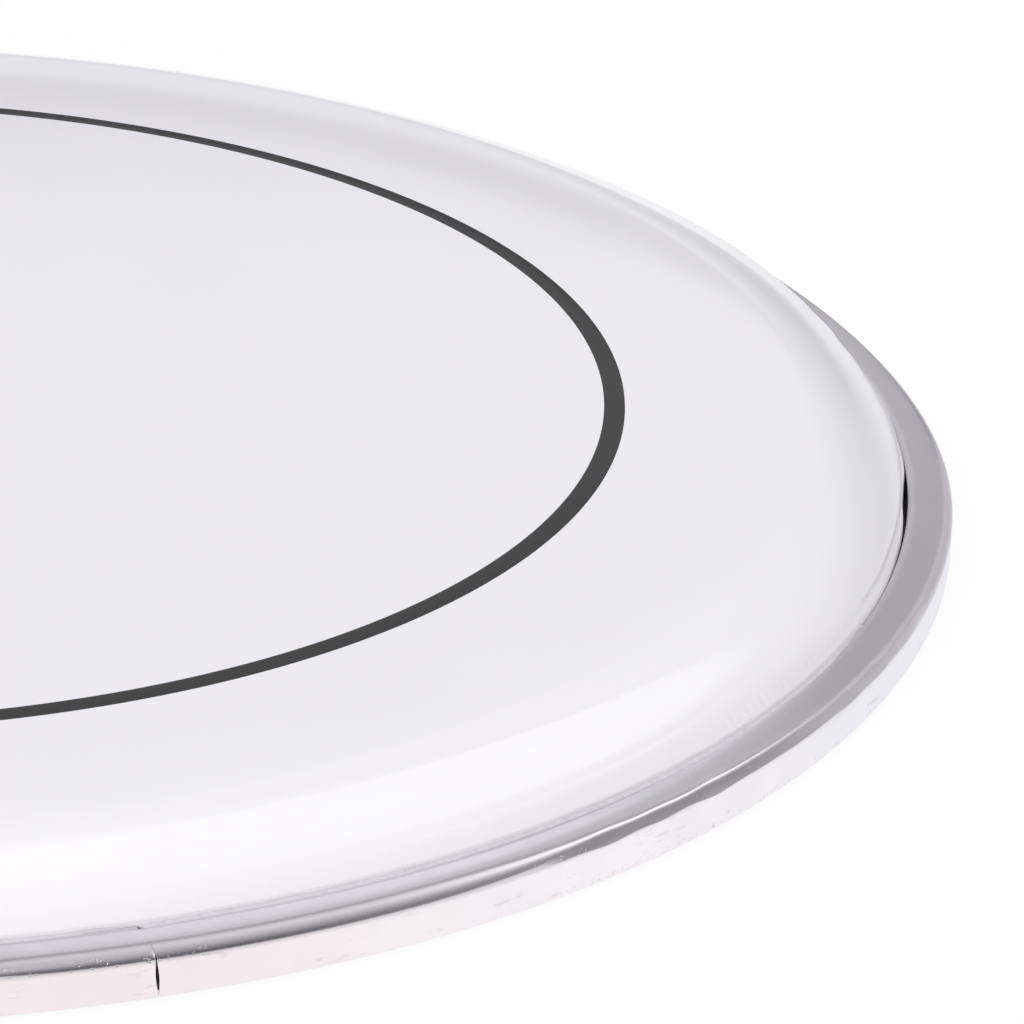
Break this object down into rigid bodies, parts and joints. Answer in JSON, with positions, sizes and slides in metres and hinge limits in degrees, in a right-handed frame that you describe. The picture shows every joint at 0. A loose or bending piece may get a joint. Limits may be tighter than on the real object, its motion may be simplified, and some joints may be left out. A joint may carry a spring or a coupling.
{
  "type": "drum head",
  "caption": "Round drum head: white plastic film with a formed collar and a plain dark ring, held in a metal channel hoop that a counterhoop pulls down over a drum shell",
  "frame": {"origin": "centre of the hoop's foot, on the drum's axis", "axes": "+Z out of the playing side along the drum's axis; the hoop's seam lies 75.4 degrees from +X towards -Y"},
  "size_m": [0.371, 0.371, 0.0184],
  "materials": {
    "rolled_aluminium": "bright rolled strip with drawing lines and small scuffs",
    "ring_steel": "plain drawn steel",
    "cast_resin": "cast, dark, glossy",
    "hard_glue": "hardened glue, uneven",
    "white_film": "smooth glossy polyester film",
    "damping_gel": "clear, soft",
    "black_ink": "smooth printed ink"
  },
  "bodies": {
    "root": {"hoop_channel": "rolled_aluminium", "lock_ring": "ring_steel", "channel_resin": "cast_resin", "slot_sealant": "hard_glue", "top_ply": "white_film", "bottom_ply": "white_film", "damping_layer": "damping_gel", "ring_stripe": "black_ink"}
  },
  "joints": []
}
